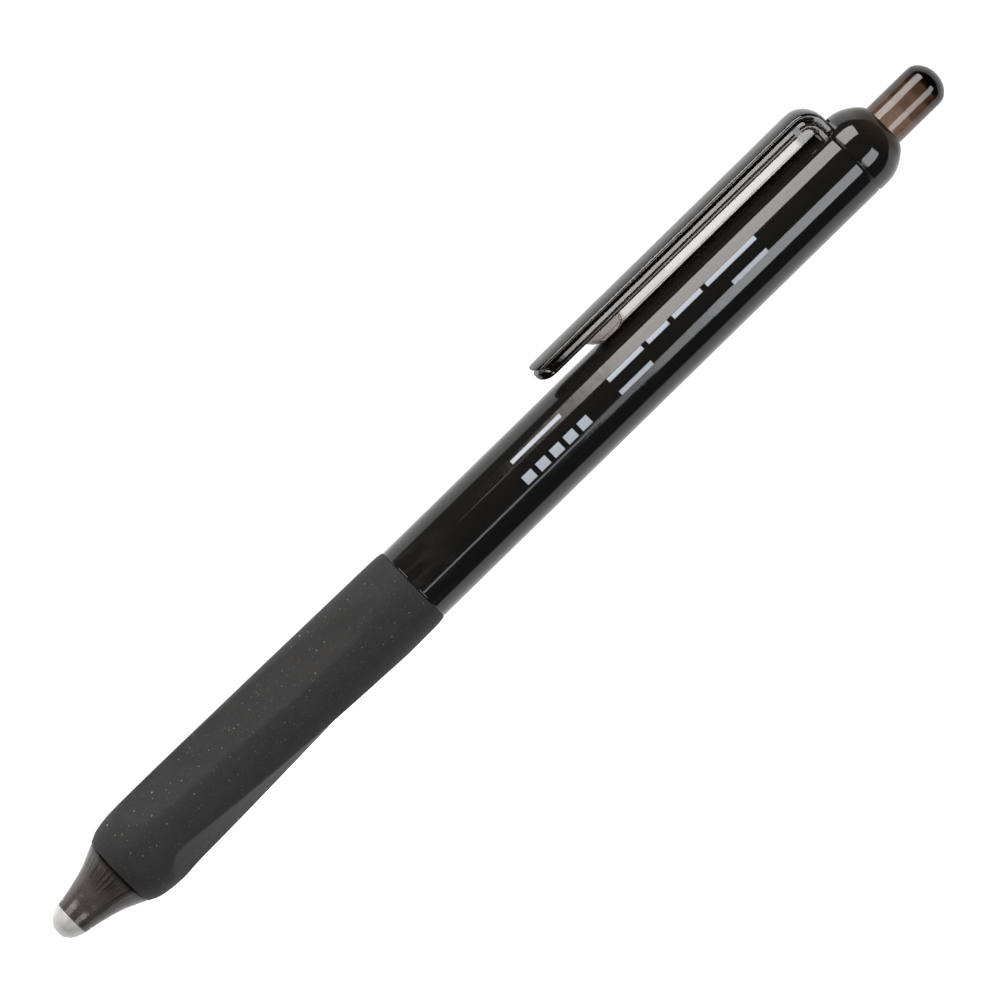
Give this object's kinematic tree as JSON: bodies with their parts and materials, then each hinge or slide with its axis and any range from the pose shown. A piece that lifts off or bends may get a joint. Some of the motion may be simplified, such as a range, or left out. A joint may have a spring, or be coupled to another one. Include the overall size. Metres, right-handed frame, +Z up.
{
  "type": "retractable gel pen",
  "caption": "Retractable gel pen with push button, pocket clip, soft twisted-flat grip and a screw-off nose, lying on its side.",
  "frame": {"origin": "bottom centre of the bounding box, where the lying pen rests on a surface", "axes": "+X along the pen's axis towards the writing tip, +Z up from the surface it lies on, the clip on the -Y side hanging 25 degrees below level"},
  "size_m": [0.1444, 0.0148, 0.0116],
  "materials": {
    "black_gloss": "high gloss moulded black plastic",
    "grip_rubber": "soft matte black rubber",
    "smoke_clip": "smoke grey-brown translucent plastic",
    "smoke_nose": "smoke brown translucent plastic",
    "smoke_button": "smoke brown translucent plastic",
    "tip_metal": "satin nickel silver",
    "spring_steel": "drawn spring wire",
    "ball_carbide": "polished tungsten carbide",
    "acetal_white": "moulded white acetal",
    "acetal_black": "moulded black acetal",
    "clear_tube": "clear polypropylene tube",
    "ink": "wet black gel ink",
    "grease": "pale translucent grease"
  },
  "bodies": {
    "barrel": {"barrel": "black_gloss", "grip_sleeve": "grip_rubber", "top_cap": "black_gloss", "cam_guide": "acetal_black", "return_spring": "spring_steel"},
    "button": {"push_button": "smoke_button", "cam_plunger": "acetal_black"},
    "rotor": {"cam_rotor": "acetal_white"},
    "refill": {"refill_tube": "clear_tube", "ink_column": "ink", "ink_follower": "grease", "refill_tail_plug": "acetal_white", "point_holder": "acetal_white", "writing_point": "tip_metal", "point_ball": "ball_carbide", "point_spring": "spring_steel"},
    "clip": {"clip": "smoke_clip"},
    "tip": {"nose_tip": "tip_metal"},
    "nose": {"nose_cone": "smoke_nose"}
  },
  "joints": [
    {"name": "press", "type": "slide", "parent": "barrel", "child": "button", "axis": [1, 0, 0], "range_m": [0, 0.0056], "stiffness_N_per_m": 100, "springref_m": -0.006, "deforming": ["return_spring"]},
    {"name": "refill_feed", "type": "slide", "parent": "barrel", "child": "refill", "axis": [1, 0, 0], "range_m": [0, 0.0056]},
    {"name": "rotor_turn", "type": "hinge", "parent": "button", "child": "rotor", "pos_m": [-0.04582, 0.0016, 0.0058], "axis": [1, 0, 0], "range_deg": [0, 45]},
    {"name": "clip_flex", "type": "hinge", "parent": "barrel", "child": "clip", "pos_m": [-0.05733, -0.00284, 0.00373], "axis": [0, 0.4226, -0.9063], "range_deg": [0, 4], "stiffness_Nm_per_rad": 0.03, "springref_deg": -2.29},
    {"name": "nose_feed", "type": "slide", "parent": "barrel", "child": "tip", "axis": [1, 0, 0], "range_m": [0, 0.005]},
    {"name": "nose_turn", "type": "hinge", "parent": "tip", "child": "nose", "pos_m": [0.06218, 0.0016, 0.0058], "axis": [1, 0, 0], "range_deg": [0, 1440]}
  ],
  "couplings": [
    {"joint": "refill_feed", "follows": "press", "ratio": 1},
    {"joint": "rotor_turn", "follows": "press", "rad_per_m": 140.2},
    {"joint": "nose_turn", "follows": "nose_feed", "rad_per_m": 5026.5}
  ]
}
